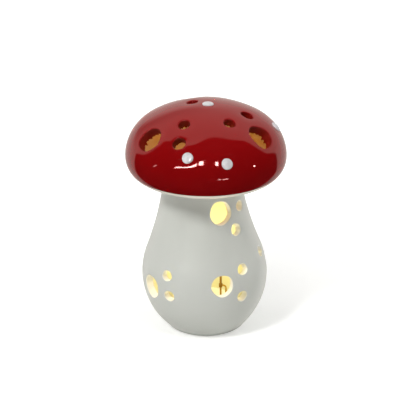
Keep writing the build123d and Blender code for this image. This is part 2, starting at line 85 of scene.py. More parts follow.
def skin_of(arcs, points):
    """Run, azimuth and depth of points near a turned skin: the way back from skin()."""
    radius = np.hypot(points[..., 0], points[..., 1])
    azimuth = np.arctan2(points[..., 0], -points[..., 1])
    starts = arc_run(arcs)
    run = np.zeros(radius.shape)
    depth = np.zeros(radius.shape)
    passed = np.ones(radius.shape, dtype=bool)
    for arc, start in zip(arcs, starts):
        across, up = radius - arc[0], points[..., 2] - arc[1]
        off = np.mod(np.arctan2(up, across) - arc[3] + np.pi, 2 * np.pi) - np.pi
        share = off / (arc[4] - arc[3])
        run = np.where(passed, start + share * abs(arc[4] - arc[3]) * arc[2], run)
        depth = np.where(passed, arc[5] * (arc[2] - np.hypot(across, up)), depth)
        passed = passed & (share > 1)
    return run, azimuth, depth


def hole_frame(arcs, run, azimuth):
    """Middle of a hole on the skin, its level direction, its upward one and the way out."""
    middle = skin(arcs, run, azimuth, 0.0)
    out = middle - skin(arcs, run, azimuth, 1.0)
    level = np.array([np.cos(azimuth), np.sin(azimuth), 0.0])
    return middle, level, np.cross(out, level), out


def hole_rings(arcs, hole, sides, wall, lip, burr, flare):
    """Rings of a hand-cut hole: over a rounded lip, down its wall to a torn edge that hangs
    below the inner skin, and back up behind it.

    Every ring is the hole's uneven oval, widened by its own amount, and slid along the
    hole's axis until it lies at its depth below the skin. The torn edge's depth changes
    from side to side. A ring's value is 0 on the skin, 1 on the wall and 3 inside.
    """
    run, azimuth, wide, tall, phase = hole
    middle, level, upward, out = hole_frame(arcs, run, azimuth)
    turn = 2 * np.pi * np.arange(sides) / sides
    wobble = 1 + 0.025 * np.cos(3 * turn + phase) + 0.012 * np.sin(5 * turn + 2.1 * phase)
    oval = np.stack([wide / 2 * wobble * np.cos(turn), tall / 2 * wobble * np.sin(turn)], axis=-1)
    along = np.roll(oval, -1, axis=0) - np.roll(oval, 1, axis=0)
    away = np.stack([along[:, 1], -along[:, 0]], axis=-1)
    away /= np.linalg.norm(away, axis=1, keepdims=True)
    bend = np.radians(np.linspace(0, 90, 7))
    # Every third tooth of the torn edge may hang far, and those between stay short
    teeth = np.random.default_rng(int(abs(phase) * 10)).random((2, sides))
    peaks = np.where(np.arange(sides) % 3 == 0, 0.1 + 0.9 * teeth[0], 0.3 * teeth[0])
    tear = burr * (0.05 + 0.75 * peaks + 0.2 * teeth[1]) * (0.8 + 0.2 * np.sin(turn))
    widen = np.concatenate([
        lip * (1 - np.sin(bend)),
        flare * np.array([0.0, 0.15, 0.6, 1.0]),
        flare + np.array([-0.1, 0.05, 0.45, 0.9]),
    ])
    down = np.concatenate([lip * (1 - np.cos(bend)), wall * np.array([0.35, 0.6, 0.85]), np.full(5, wall)])
    hang = np.concatenate([np.zeros(11), [0.5, 1.0, 0.55, 0.0]])
    value = np.concatenate([np.linspace(0, 1, 7), [1.0, 1.0, 1.0, 1.0, 1.3, 1.7, 2.6, 3.0]])
    below = down[:, None] + hang[:, None] * tear
    flat = oval[None] + away[None] * widen[:, None, None]
    points = middle + flat[..., :1] * level + flat[..., 1:] * upward
    for _ in range(12):
        points = points + (skin_of(arcs, points)[2] - below)[..., None] * out
    return points, np.repeat(value, sides)


def lay_flat(arcs, low, high):
    """Table that lays a turned skin flat without shearing: the flat radius grows by its own
    share as the run grows by that share of the real radius."""
    run = np.linspace(low, high, 600)
    radius = np.hypot(*skin(arcs, run, 0.0, 0.0)[..., :2].T)
    radius = np.maximum(radius, 1e-3)
    step = np.diff(run) * 2 / (radius[1:] + radius[:-1])
    return run, np.exp(np.concatenate(([0.0], np.cumsum(step))))


def pierced_sheet(arcs, low, high, depth, spacing, columns, loops):
    """One pierced skin between two runs: seeds spread as on a sunflower, joined up round the
    holes' loops. low of 0 closes it over the top."""
    run_table, flat_table = lay_flat(arcs, max(low, 0.02), high)
    girth = np.hypot(*skin(arcs, run_table, 0.0, depth)[..., :2].T)
    area = np.concatenate(([0.0], np.cumsum(np.diff(run_table) * np.pi * (girth[1:] + girth[:-1]))))
    golden_turn = 2.399963
    count = int(area[-1] / (0.87 * spacing**2))
    seed_run = np.interp((np.arange(count) + 0.5) / count * area[-1], area, run_table)
    seeds = skin(arcs, seed_run, np.arange(count) * golden_turn, depth)
    keep = (seed_run < high - 0.6 * spacing) & (seed_run > (low + 0.6 * spacing if low else -1))
    rim_turn = 2 * np.pi * np.arange(columns) / columns
    edges = [skin(arcs, high, rim_turn, depth)] + ([skin(arcs, low, rim_turn, depth)] if low else [])
    search_radius = 20
    for loop in loops:
        middle = loop.mean(axis=0)
        near = np.linalg.norm(seeds - middle, axis=1) < search_radius
        gap = np.full(count, 99.0)
        gap[near] = np.linalg.norm(seeds[near][:, None] - loop[None], axis=2).min(axis=1)
        reach = np.linalg.norm(loop - middle, axis=1)
        offset = seeds - middle
        nearest = np.zeros(count, dtype=int)
        nearest[near] = np.linalg.norm(seeds[near][:, None] - loop[None], axis=2).argmin(axis=1)
        keep &= (gap > 0.7 * spacing) & ~(near & (np.linalg.norm(offset, axis=1) < reach[nearest]))
    rims = edges + list(loops)
    points = np.concatenate(rims + [seeds[keep]])
    run, azimuth, _ = skin_of(arcs, points)
    flat_radius = np.interp(run, run_table, flat_table)
    flat = np.stack([flat_radius * np.sin(azimuth), -flat_radius * np.cos(azimuth)], axis=-1)
    starts = np.cumsum([0] + [len(rim) for rim in rims])
    belongs = np.full(len(points), -1)
    links = []
    for number, (start, rim) in enumerate(zip(starts, rims)):
        belongs[start:start + len(rim)] = number
        ring = np.arange(start, start + len(rim))
        links.append(np.stack([ring, np.roll(ring, -1)], axis=1))
    made = geometry.delaunay_2d_cdt(
        [Vector(spot) for spot in flat.tolist()], np.concatenate(links).tolist(), [], 0, 1e-9
    )
    origin = np.array([ids[0] for ids in made[3]])
    faces = origin[np.array(made[2])]
    same = (belongs[faces[:, 0]] == belongs[faces[:, 1]]) & (belongs[faces[:, 1]] == belongs[faces[:, 2]])
    same &= belongs[faces[:, 0]] > 0
    drop = np.zeros(len(faces), dtype=bool)
    centre = flat[faces].mean(axis=1)
    for number in range(1, len(rims)):
        ring = flat[starts[number]:starts[number] + len(rims[number])]
        other = np.roll(ring, -1, axis=0)
        asked = np.nonzero(same & (belongs[faces[:, 0]] == number))[0]
        spot = centre[asked][:, None]
        crosses = (ring[None, :, 1] > spot[..., 1]) != (other[None, :, 1] > spot[..., 1])
        rise = np.where(other[:, 1] == ring[:, 1], 1e-12, other[:, 1] - ring[:, 1])
        slope = (other[:, 0] - ring[:, 0]) / rise
        left = spot[..., 0] < ring[None, :, 0] + slope[None] * (spot[..., 1] - ring[None, :, 1])
        drop[asked[(crosses & left).sum(axis=1) % 2 == 1]] = True
    faces = faces[~drop]
    a, b, c = flat[faces[:, 0]], flat[faces[:, 1]], flat[faces[:, 2]]
    signed = (b[:, 0] - a[:, 0]) * (c[:, 1] - a[:, 1]) - (b[:, 1] - a[:, 1]) * (c[:, 0] - a[:, 0])
    faces[signed < 0] = faces[signed < 0][:, ::-1]
    return points, faces


def ring_faces(rings, sides, flip=False):
    """Four-cornered faces between closed rings of points."""
    corner = np.arange(rings * sides).reshape(rings, sides)
    beside = np.roll(corner, -1, axis=1)
    faces = np.stack([corner[:-1], corner[1:], beside[1:], beside[:-1]], axis=-1).reshape(-1, 4)
    return faces[:, ::-1] if flip else faces


def weld(parts):
    """Joins (points, faces, values) parts into one mesh's arrays, with shared points once."""
    points = np.concatenate([part[0] for part in parts])
    values = np.concatenate([part[2] for part in parts])
    faces, start = [], 0
    for part in parts:
        faces += (part[1] + start).tolist()
        start += len(part[0])
    steps_to_mm = 20000
    keys = np.round(points * steps_to_mm).astype(np.int64)
    _, first, back = np.unique(keys, axis=0, return_index=True, return_inverse=True)
    back = back.ravel()
    faces = [[int(back[corner]) for corner in face] for face in faces]
    faces = [face for face in faces if len(set(face)) == len(face)]
    return points[first], faces, values[first]


def make_piece(name, points, faces, values):
    """A smooth mesh piece from points in millimetres, with one value a point as "zone"."""
    mesh = bpy.data.meshes.new(name)
    mesh.from_pydata((points * MM).tolist(), [], faces)
    mesh.polygons.foreach_set("use_smooth", np.ones(len(mesh.polygons), dtype=bool))
    layer = mesh.attributes.new("zone", "FLOAT", "POINT")
    layer.data.foreach_set("value", values.astype(np.float32))
    mesh.update()
    piece = bpy.data.objects.new(name, mesh)
    bpy.context.scene.collection.objects.link(piece)
    return piece


def hand_made(arcs, dents, points, low, high, size):
    """Slow swells of a hand-finished skin, and a shallow dish round each hole or dot where the
    clay gave way.

    The swells are crossed waves, and a dish is a bell that starts just inside the edge. Both
    move points along the way in and never past the true skin, and fade out at its ends.
    Each dent is (run, azimuth, edge radius, depth, width, more width above).
    """
    run, azimuth, depth = skin_of(arcs, points)
    spot = skin(arcs, run, azimuth, 0.0)
    swell = np.sin(spot @ [0.11, 0.05, 0.16] + 0.7) + np.sin(spot @ [-0.07, 0.17, 0.09] + 2.0)
    sunk = size * (0.5 - 0.18 * (swell + 0.7 * np.sin(spot @ [0.21, -0.12, -0.13] + 4.0)))
    sunk = np.maximum(sunk, 0.0)
    for run_at, azimuth_at, radius, deep, width, lift in dents:
        middle, _, upward, _ = hole_frame(arcs, run_at, azimuth_at)
        away = np.linalg.norm(spot - middle, axis=1)
        above = np.clip((spot - middle) @ upward / np.maximum(away, 1e-6), 0, 1)
        gap = np.maximum(away - radius, -1.5) + 1.5
        sunk = sunk + deep * np.exp(-(gap / (width + lift * above)) ** 2)
    ease = 8
    fade = np.clip((high - run) / ease, 0, 1) * (np.clip((run - low) / ease, 0, 1) if low else 1.0)
    return skin(arcs, run, azimuth, depth + sunk * fade**2 * (3 - 2 * fade))


large_from = 11.0


def pierced_shell(arcs, holes, wall, spacing, low, high, columns, lip, cuts, dents, size):
    """Outer skin, inner skin and walls of all holes, as parts to weld. A cut is how far a
    hole's torn edge hangs and how far its wall flares."""
    outer_loops, inner_loops, parts = [], [], []
    for hole, (burr, flare) in zip(holes, cuts):
        sides = 60 if hole[2] > large_from else 36
        rings, value = hole_rings(arcs, hole, sides, wall, lip, burr, flare)
        outer_loops.append(rings[0])
        inner_loops.append(rings[-1])
        parts.append((rings.reshape(-1, 3), ring_faces(len(rings), sides, True), value))
    points, faces = pierced_sheet(arcs, low, high, 0.0, spacing, columns, outer_loops)
    parts.append((points, faces, np.zeros(len(points))))
    points, faces = pierced_sheet(arcs, low, high, wall, 1.6 * spacing, columns, inner_loops)
    parts.append((points, faces[:, ::-1], np.full(len(points), 3.0)))
    return [(hand_made(arcs, dents, part[0], low, high, size), part[1], part[2]) for part in parts]


stem_lean = np.radians(1.4)
stem_wall = 5.0
seat = 106.0
foot_radius = 24.4
belly_radius = 40.5
belly_height = 35.5
waist_radius = 22.8
waist_height = 127.6
belly_swell = belly_radius - foot_radius
belly_arc = (belly_swell**2 + belly_height**2) / (2 * belly_swell)
belly_centre = belly_radius - belly_arc
neck_offset = waist_radius - belly_centre
neck_gap = waist_height - belly_height
neck_arc = (neck_offset**2 + neck_gap**2 - belly_arc**2) / (2 * (belly_arc - neck_offset))
neck_centre = waist_radius + neck_arc
neck_tilt = np.arctan2(neck_gap, neck_centre - belly_centre)
neck_start = np.arcsin((waist_height - seat) / neck_arc)
stem_arcs = [
    (neck_centre, waist_height, neck_arc, np.pi + neck_start, np.pi + neck_tilt, -1.0),
    (belly_centre, belly_height, belly_arc, neck_tilt, -np.arcsin(belly_height / belly_arc), 1.0),
]
stem_join = belly_height + belly_arc * np.sin(neck_tilt)


def stem_run(height):
    """Run along the stem's skin at a height."""
    if height > stem_join:
        return neck_arc * (np.arcsin((waist_height - height) / neck_arc) - neck_start)
    below_join = neck_tilt - np.arcsin((height - belly_height) / belly_arc)
    return neck_arc * (neck_tilt - neck_start) + belly_arc * below_join


def lean_over(points, share=1.0):
    """Tips the stem to the left about its foot, keeping the foot and the seat level."""
    x, y, z = points.T
    ease = 12
    level = np.clip(z / ease, 0, 1) * np.clip((seat - z) / ease, 0, 1)
    shift = share * z * np.sin(stem_lean)
    return np.stack([x - shift, y, z + share * level * x * np.sin(stem_lean)], axis=-1)


# Holes of the stem: azimuth in degrees, height as a share of the seat's, width and height shares
stem_large = [
    (16.8, 0.395, 0.95, 0.96), (98.0, 0.405, 1.00, 0.97), (-158.0, 0.370, 0.98, 1.03),
    (-58.0, 0.328, 1.03, 1.03), (25.5, 0.813, 0.98, 1.04), (-140.0, 0.800, 1.00, 1.00),
]
stem_small = [
    (39.8, 0.467, 1.04, 0.98), (36.6, 0.300, 1.02, 1.00), (76.0, 0.495, 0.95, 0.95),
    (121.0, 0.340, 1.00, 1.05), (-134.0, 0.300, 1.00, 1.00), (178.0, 0.455, 1.03, 0.97),
    (-37.4, 0.442, 1.00, 0.93), (-34.1, 0.316, 1.04, 0.96), (60.7, 0.815, 1.03, 0.92),
    (44.2, 0.695, 1.07, 1.07), (-172.0, 0.765, 1.00, 1.00), (-121.0, 0.700, 0.96, 1.04),
]
stem_large_dia = 14.6
stem_small_dia = 7.2
stem_holes = [
    (stem_run(seat * up), np.radians(turn), dia * wide, dia * tall, turn)
    for dia, group in ((stem_large_dia, stem_large), (stem_small_dia, stem_small))
    for turn, up, wide, tall in group
]
stem_cuts = [(burr, 0.0) for burr in (0.9, 1.2, 1.0, 0.8, 3.4, 2.4)] + [(0.6, 0.2)] * len(stem_small)
dish_width = 4.6
stem_dish = 0.05
stem_dents = [
    (run, turn, (wide + tall) / 4, stem_dish, dish_width, 0.0) for run, turn, wide, tall, _ in stem_holes
]
stem_columns = 200
stem_turn = 2 * np.pi * np.arange(stem_columns) / stem_columns
stem_top, stem_bottom = stem_run(98.5), stem_run(20.0)
skin_spacing = 1.25
stem_lip = 0.55
swell_depth = 0.10
stem_parts = pierced_shell(
    stem_arcs, stem_holes, stem_wall, skin_spacing, stem_top, stem_bottom, stem_columns,
    stem_lip, stem_cuts, stem_dents, swell_depth,
)


def turned(radius, height):
    """Rings of points round the axis, one for each radius and height."""
    radius, height = np.array(radius)[:, None], np.array(height)[:, None]
    x, y = radius * np.sin(stem_turn), -radius * np.cos(stem_turn)
    return np.stack([x, y, np.broadcast_to(height, x.shape)], axis=-1)


quarter = np.radians(np.linspace(0, 90, 6))
foot_round = 1.4
skin_down = np.linspace(stem_bottom, stem_run(foot_round), 12)
foot_outer = skin(stem_arcs, skin_down[:, None], stem_turn, 0.0)
edge_radius = np.hypot(*foot_outer[-1, 0, :2])
foot_edge = turned(
    edge_radius - foot_round * (1 - np.cos(quarter[1:])), foot_round - foot_round * np.sin(quarter[1:])
)
foot_inner = turned(
    [21.2, 20.85, 20.7, 20.7, 20.7, 20.4, 19.4, 19.1, 19.0, 19.0, 19.1, 19.5, 22.0, 24.6],
    [0.0, 0.1, 0.45, 2.0, 3.8, 4.1, 4.1, 4.2, 4.5, 7.5, 7.8, 8.0, 8.0, 8.3],
)
inner_drop = 26.6
inner_low = stem_run(belly_height - belly_arc * inner_drop / (belly_arc - stem_wall))
foot_up = skin(stem_arcs, np.linspace(inner_low, stem_bottom, 10)[:, None], stem_turn, stem_wall)
foot = np.concatenate([foot_outer, foot_edge, foot_inner, foot_up])
foot_values = np.concatenate([
    np.zeros(len(foot_outer) + len(foot_edge)),
    np.linspace(0.5, 3.0, len(foot_inner)),
    np.full(len(foot_up), 3.0),
])
foot_share = np.concatenate([
    np.ones(len(foot_outer) + len(foot_edge)), np.zeros(len(foot_inner)), np.ones(len(foot_up)),
])
cove_foot = 104.2
cove_reach = 1.7
cove_rise = 1.8
neck_up = skin(stem_arcs, np.linspace(stem_run(cove_foot), stem_top, 6)[:, None], stem_turn, 0.0)
neck_radius = np.hypot(*neck_up[0, 0, :2])
cove = turned(
    neck_radius + cove_reach * (1 - np.cos(quarter[:0:-1])), cove_foot + cove_rise * np.sin(quarter[:0:-1])
)
neck_inner = skin(stem_arcs, np.linspace(stem_top, 0.0, 6)[:, None], stem_turn, stem_wall)
neck = np.concatenate([neck_inner, cove, neck_up])
neck_values = np.concatenate([np.full(len(neck_inner), 3.0), np.zeros(len(cove) + len(neck_up))])
stem_parts = [(lean_over(part[0]), part[1], part[2]) for part in stem_parts]
stem_parts.append((
    np.concatenate([lean_over(ring, share) for ring, share in zip(foot, foot_share)]),
    ring_faces(len(foot), stem_columns), np.repeat(foot_values, stem_columns),
))
stem_parts.append((
    lean_over(neck.reshape(-1, 3)), ring_faces(len(neck), stem_columns), np.repeat(neck_values, stem_columns),
))
stem_shell = make_piece("stem_shell", *weld(stem_parts))


def new_material(name, **sockets):
    """A material, its node tree and its surface shader, with the shader's own sockets set."""
    made = bpy.data.materials.new(name)
    made.use_nodes = True
    shader = made.node_tree.nodes["Principled BSDF"]
    for socket, value in sockets.items():
        shader.inputs[socket.replace("_", " ")].default_value = value
    return made, made.node_tree, shader


def add_node(tree, kind, inputs=(), **settings):
    """A node with its settings, and its inputs either linked or set."""
    made = tree.nodes.new(kind)
    for key, value in settings.items():
        setattr(made, key, value)
    for key, value in dict(inputs).items():
        if isinstance(value, bpy.types.NodeSocket):
            tree.links.new(value, made.inputs[key])
        else:
            made.inputs[key].default_value = value
    return made


def noise(tree, scale, detail=2.0):
    """Noise in the object's own space, its scale in lumps to the metre."""
    place = add_node(tree, "ShaderNodeTexCoord").outputs["Object"]
    made = add_node(tree, "ShaderNodeTexNoise", {"Vector": place, "Scale": scale, "Detail": detail})
    return made.outputs["Fac"]


def span(tree, value, low, high, out_low, out_high, smooth=True):
    """Carries a value from one range to another, held at the ends."""
    return add_node(
        tree, "ShaderNodeMapRange",
        {"Value": value, "From Min": low, "From Max": high, "To Min": out_low, "To Max": out_high},
        interpolation_type="SMOOTHSTEP" if smooth else "LINEAR",
    ).outputs["Result"]


def blend_colours(tree, share, first, second):
    """One colour going over into another by a share."""
    made = add_node(tree, "ShaderNodeMix", {0: share, 6: first, 7: second}, data_type="RGBA")
    return made.outputs[2]


def math(tree, operation, first, second):
    """A sum, product or other operation on two values."""
    return add_node(tree, "ShaderNodeMath", {0: first, 1: second}, operation=operation).outputs[0]


def bump(tree, shader, height, distance):
    """Raises the surface by a height from 0 to 1, times a distance in metres."""
    made = add_node(tree, "ShaderNodeBump", {"Height": height, "Distance": distance, "Strength": 1.0})
    tree.links.new(made.outputs["Normal"], shader.inputs["Normal"])


white_glaze, tree, shader = new_material("white_glaze", Roughness=0.3, IOR=1.5)
zone = add_node(tree, "ShaderNodeAttribute", attribute_name="zone").outputs["Fac"]
cloud = span(tree, noise(tree, 38.0, 3.0), 0.35, 0.65, 0, 1)
body = blend_colours(tree, cloud, (0.562, 0.573, 0.532, 1), (0.572, 0.583, 0.542, 1))
# Painted light: the lips and walls of the holes are painted far lighter than the same glaze outside, as if
# lit.
rim = blend_colours(tree, cloud, (0.87, 0.855, 0.81, 1), (0.90, 0.885, 0.84, 1))
# Painted light: the inner skin is painted yellow, as the lamp's warm light on the cream glaze.
inside = blend_colours(tree, cloud, (0.70, 0.68, 0.50, 1), (0.74, 0.72, 0.54, 1))
# Below the walls the torn clay is painted by a fine noise, partly in its own pale colour and partly in brown
# as painted shade.
torn = span(tree, noise(tree, 700.0, 3.0), 0.42, 0.6, 0, 1)
torn = blend_colours(tree, torn, (0.60, 0.36, 0.14, 1), (0.86, 0.80, 0.72, 1))
finish = blend_colours(tree, span(tree, zone, 0.2, 0.9, 0, 1), body, rim)
finish = blend_colours(tree, span(tree, zone, 1.05, 1.3, 0, 1), finish, torn)
finish = blend_colours(tree, span(tree, zone, 2.5, 2.9, 0, 1), finish, inside)
tree.links.new(finish, shader.inputs["Base Color"])
tree.links.new(span(tree, noise(tree, 45.0, 1.0), 0.2, 0.8, 0.29, 0.31, False), shader.inputs["Roughness"])
bump(tree, shader, noise(tree, 90.0, 1.0), 0.00005)
stem_shell.data.materials.append(white_glaze)
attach(stem_shell, "shell")
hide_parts("stem")

# Cap: a hollow dome of the same clay with a flat floor, luted to the stem's top. Red glaze
# is brushed over it to the turn of the lower edge and runs part of the way into the holes.
cap_radius = 51.0
cap_wide = 116.5
shoulder_arc = 27.3
roll_arc = 10.5
cap_wall = 5.0
dome_rise = 34.0
shoulder_centre = cap_radius - shoulder_arc
roll_centre = cap_radius - roll_arc
crown_arc = (shoulder_centre**2 + dome_rise**2 - shoulder_arc**2) / (2 * (dome_rise - shoulder_arc))
crown_centre = cap_wide + dome_rise - crown_arc
crown_tilt = np.arctan2(cap_wide - crown_centre, shoulder_centre)
cap_arcs = [
    (0.0, crown_centre, crown_arc, np.pi / 2, crown_tilt, 1.0),
    (shoulder_centre, cap_wide, shoulder_arc, crown_tilt, 0.0, 1.0),
    (roll_centre, cap_wide, roll_arc, 0.0, -np.pi / 2, 1.0),
]


def cap_run(tilt):
    """Run along the cap's skin where it faces this far above level, in degrees."""
    rise = np.radians(tilt)
    if rise > crown_tilt:
        return crown_arc * (np.pi / 2 - rise)
    return crown_arc * (np.pi / 2 - crown_tilt) + shoulder_arc * (crown_tilt - rise)


# Holes of the cap: azimuth and tilt above level in degrees, width and height shares
cap_large = [(-56.0, 47.0, 1.00, 1.00), (57.0, 51.0, 0.96, 1.03), (176.0, 46.0, 1.00, 0.97)]
cap_small = [
    (-32.0, 69.2, 0.94, 0.97), (-25.0, 55.0, 1.06, 1.12), (-125.0, 81.6, 1.00, 0.90),
    (35.0, 69.5, 0.95, 0.98), (76.5, 68.6, 1.00, 1.08), (-158.0, 68.0, 1.00, 1.00),
    (146.0, 60.0, 1.04, 0.96),
]
cap_large_dia = 16.2
cap_small_dia = 7.6
cap_holes = [
    (cap_run(tilt), np.radians(turn), dia * wide, dia * tall, turn)
    for dia, group in ((cap_large_dia, cap_large), (cap_small_dia, cap_small))
    for turn, tilt, wide, tall in group
]
# The small hole above the left dot was torn further and lies in a deeper dish than the others
deep_hole = len(cap_large) + 1
cap_cuts = [(4.4, 0.0)] * len(cap_large) + [(2.2, 0.5)] * len(cap_small)
cap_cuts[deep_hole] = (2.8, 0.3)
dot_places = [(-14.0, 35.0), (15.5, 27.0), (70.0, 88.9), (91.0, 42.0), (-128.0, 32.0), (142.0, 30.0)]
dot_radius = 3.4
cap_dents = [
    (run, turn, (wide + tall) / 4, 0.4 if wide > large_from else 0.3, dish_width, 0.0)
    for run, turn, wide, tall, _ in cap_holes
]
cap_dents[deep_hole] = (*cap_dents[deep_hole][:3], 1.1, dish_width, 11.2)
cap_dents += [(cap_run(tilt), np.radians(turn), dot_radius, 0.17, 3.0, 0.0) for turn, tilt in dot_places]
cap_columns = 240
cap_turn = 2 * np.pi * np.arange(cap_columns) / cap_columns
cap_low = cap_run(6.0)
cap_lip = 0.8
cap_parts = pierced_shell(
    cap_arcs, cap_holes, cap_wall, skin_spacing, 0.0, cap_low, cap_columns,
    cap_lip, cap_cuts, cap_dents, swell_depth,
)
roll_end = arc_run(cap_arcs)[-1]
neck_x = -seat * np.tan(stem_lean)
mouth_radius = 17.0


def cap_floor(radius, height):
    """Rings of the cap's floor, round the cap's axis outside and round the neck inside."""
    radius, height = np.array(radius)[:, None], np.array(height)[:, None]
    shift = neck_x * np.clip((roll_centre - radius) / (roll_centre - mouth_radius), 0, 1)
    x, y = shift + radius * np.sin(cap_turn), -radius * np.cos(cap_turn)
    return np.stack([x, y, np.broadcast_to(height, x.shape)], axis=-1)


under_steps = np.linspace(cap_low, roll_end, 26)
under = skin(cap_arcs, under_steps[:, None], cap_turn, 0.0)
floor_rings = cap_floor(
    [38.0, 34.0, 30.0, 26.0, 22.0, 18.0, 17.2, 17.0, 17.0, 17.2, 18.0, 24.0, 32.0],
    [106.0, 106.0, 106.0, 106.0, 106.0, 106.0, 106.2, 106.8, 110.2, 110.8, 111.0, 111.0, 111.0],
)
over = skin(cap_arcs, np.linspace(roll_end, cap_low, 16)[:, None], cap_turn, cap_wall)
underside = np.concatenate([under, floor_rings, over])
past_glaze = 99.0
under_run = np.concatenate([under_steps, np.full(len(floor_rings) + len(over), past_glaze)])
glaze_line = 75.2
sag_share = 0.17
sag_from = 29.0
sag_ease = 10.0


def sagged(points):
    """Draws the cap's lower roll down by a sixth of its height below the widest level, as
    the soft clay sagged there. It fades out over the flat floor, well before the neck."""
    radius = np.hypot(points[..., 0], points[..., 1])
    below = np.minimum(points[..., 2] - cap_wide, 0.0)
    share = np.clip((radius - sag_from) / sag_ease, 0, 1)
    return points + (sag_share * below * share**2 * (3 - 2 * share))[..., None] * [0.0, 0.0, 1.0]


def glaze_values(points, values):
    """How far past the red glaze's edge a point lies, in millimetres and held at 9 before it.
    In the holes it runs from -2 at the lip to 1 on the inner skin, and passes the edge
    behind the torn clay."""
    past = np.maximum(skin_of(cap_arcs, points)[0] - glaze_line, -9.0)
    return np.where(values <= 0.0, past, values - 2.0)


cap_parts = [(points, faces, glaze_values(points, values)) for points, faces, values in cap_parts]
cap_parts.append((
    underside.reshape(-1, 3), ring_faces(len(underside), cap_columns),
    np.repeat(np.clip(under_run - glaze_line, -9.0, 9.0), cap_columns),
))
cap_points, cap_faces, cap_values = weld([(sagged(part[0]), part[1], part[2]) for part in cap_parts])
cap_shell = make_piece("cap_shell", cap_points, cap_faces, cap_values)
# The "wall" layer is 1 on the walls of the holes, where the red is painted darker as shade and the glaze is
# duller
cap_wall_share = np.clip(1 - abs(cap_values + 0.8) / 1.1, 0, 1) * (skin_of(cap_arcs, cap_points)[2] > 0.6)
wall_layer = cap_shell.data.attributes.new("wall", "FLOAT", "POINT")
wall_layer.data.foreach_set("value", np.minimum(1.6 * cap_wall_share, 1.0).astype(np.float32))

red_glaze, tree, shader = new_material(
    "red_glaze", Roughness=0.07, IOR=1.75, Specular_Tint=(1.0, 0.5, 0.48, 1)
)
zone = add_node(tree, "ShaderNodeAttribute", attribute_name="zone").outputs["Fac"]
bare = span(tree, zone, -0.12, 0.12, 0, 1)
cloud = span(tree, noise(tree, 30.0, 3.0), 0.35, 0.65, 0, 1)
red = blend_colours(tree, cloud, (0.25, 0.0025, 0.0035, 1), (0.262, 0.003, 0.004, 1))
clay = blend_colours(tree, cloud, (0.70, 0.67, 0.58, 1), (0.76, 0.73, 0.64, 1))
place = add_node(tree, "ShaderNodeTexCoord").outputs["Object"]
up = add_node(tree, "ShaderNodeSeparateXYZ", {"Vector": place}).outputs["Z"]
# Painted shade: the red is darker from near the crown down to the widest level and the roll below, as if lit
# from above.
red = blend_colours(tree, span(tree, up, 0.108, 0.146, 0, 1, False), (0.155, 0.0012, 0.0018, 1), red)
hole_shade_and_dullness = add_node(tree, "ShaderNodeAttribute", attribute_name="wall").outputs["Fac"]
# Painted shade: the red on the walls of the holes is darker.
red = blend_colours(tree, hole_shade_and_dullness, red, (0.15, 0.0008, 0.0008, 1))
tree.links.new(blend_colours(tree, bare, red, clay), shader.inputs["Base Color"])
sheen = span(tree, noise(tree, 70.0), 0.3, 0.7, 0.05, 0.09)
sheen = math(tree, "ADD", sheen, math(tree, "MULTIPLY", hole_shade_and_dullness, 0.6))
tree.links.new(sheen, shader.inputs["Roughness"])
bump(tree, shader, noise(tree, 100.0, 1.0), 0.00006)
cap_shell.data.materials.append(red_glaze)
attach(cap_shell, "shell")
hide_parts("cap")

# Dots: drops of white slip set on the cap before glazing. Each has run out into a low
# round button with a steep edge, and its glaze is glossy.
dot_rise = 1.0
dot_sides = 48
dot_turn = 2 * np.pi * np.arange(dot_sides) / dot_sides
dot_share = np.concatenate([np.linspace(0.02, 0.8, 8), [0.87, 0.92, 0.96, 0.985, 1.0, 1.0]])
dot_height = dot_rise * np.clip(1 - dot_share**3.4, 0, 1) ** 0.55
dot_skirt = 0.4
dot_height[-1] = -dot_skirt
dot_parts = []
for number, (turn, tilt) in enumerate(dot_places):
    middle, level, upward, out = hole_frame(cap_arcs, cap_run(tilt), np.radians(turn))
    uneven = 1 + 0.018 * np.cos(2 * dot_turn + number) + 0.012 * np.cos(3 * dot_turn)
    reach = dot_radius * dot_share[:, None] * uneven
    across = (reach * np.cos(dot_turn))[..., None] * level
    points = middle + across + (1.05 * reach * np.sin(dot_turn))[..., None] * upward
    run, azimuth, _ = skin_of(cap_arcs, points)
    points = skin(cap_arcs, run, azimuth, -dot_height[:, None]).reshape(-1, 3)
    points = np.concatenate([points, points[:dot_sides].mean(axis=0)[None]])
    faces = ring_faces(len(dot_share), dot_sides, True)
    hub = len(points) - 1
    fan = np.stack([np.full(dot_sides, hub), np.arange(dot_sides), np.roll(np.arange(dot_sides), -1)], axis=1)
    dot_parts.append((points, faces, np.zeros(len(points))))
    dot_parts.append((points, fan, np.zeros(len(points))))
dots = make_piece("slip_dots", *weld(dot_parts))
slip_white, tree, shader = new_material("slip_white", Roughness=0.12, IOR=1.5)
cloud = span(tree, noise(tree, 260.0, 3.0), 0.35, 0.65, 0, 1)
slip = blend_colours(tree, cloud, (0.56, 0.545, 0.555, 1), (0.66, 0.65, 0.655, 1))
tree.links.new(slip, shader.inputs["Base Color"])
bump(tree, shader, noise(tree, 500.0, 2.0), 0.0001)
dots.data.materials.append(slip_white)
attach(dots, "shell")
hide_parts("cap_dots")

# Light unit: moulded parts, steel contacts, a small board and a warm lamp on two leads.
# It is pushed into the foot from below and gripped there by a rubber ring.


def plain(name, colour, roughness, grain, grain_size, metallic=0.0):
    """A moulded, pressed or rolled material with a fine grain in colour and surface."""
    made, tree, shader = new_material(name, Metallic=metallic)
    tone = span(tree, noise(tree, grain, 3.0), 0.3, 0.7, 0, 1)
    dark = tuple(0.88 * part for part in colour) + (1,)
    tree.links.new(blend_colours(tree, tone, dark, tuple(colour) + (1,)), shader.inputs["Base Color"])
    tree.links.new(span(tree, tone, 0, 1, roughness * 0.85, roughness * 1.15), shader.inputs["Roughness"])
    bump(tree, shader, noise(tree, grain * 3, 2.0), grain_size)
    return made


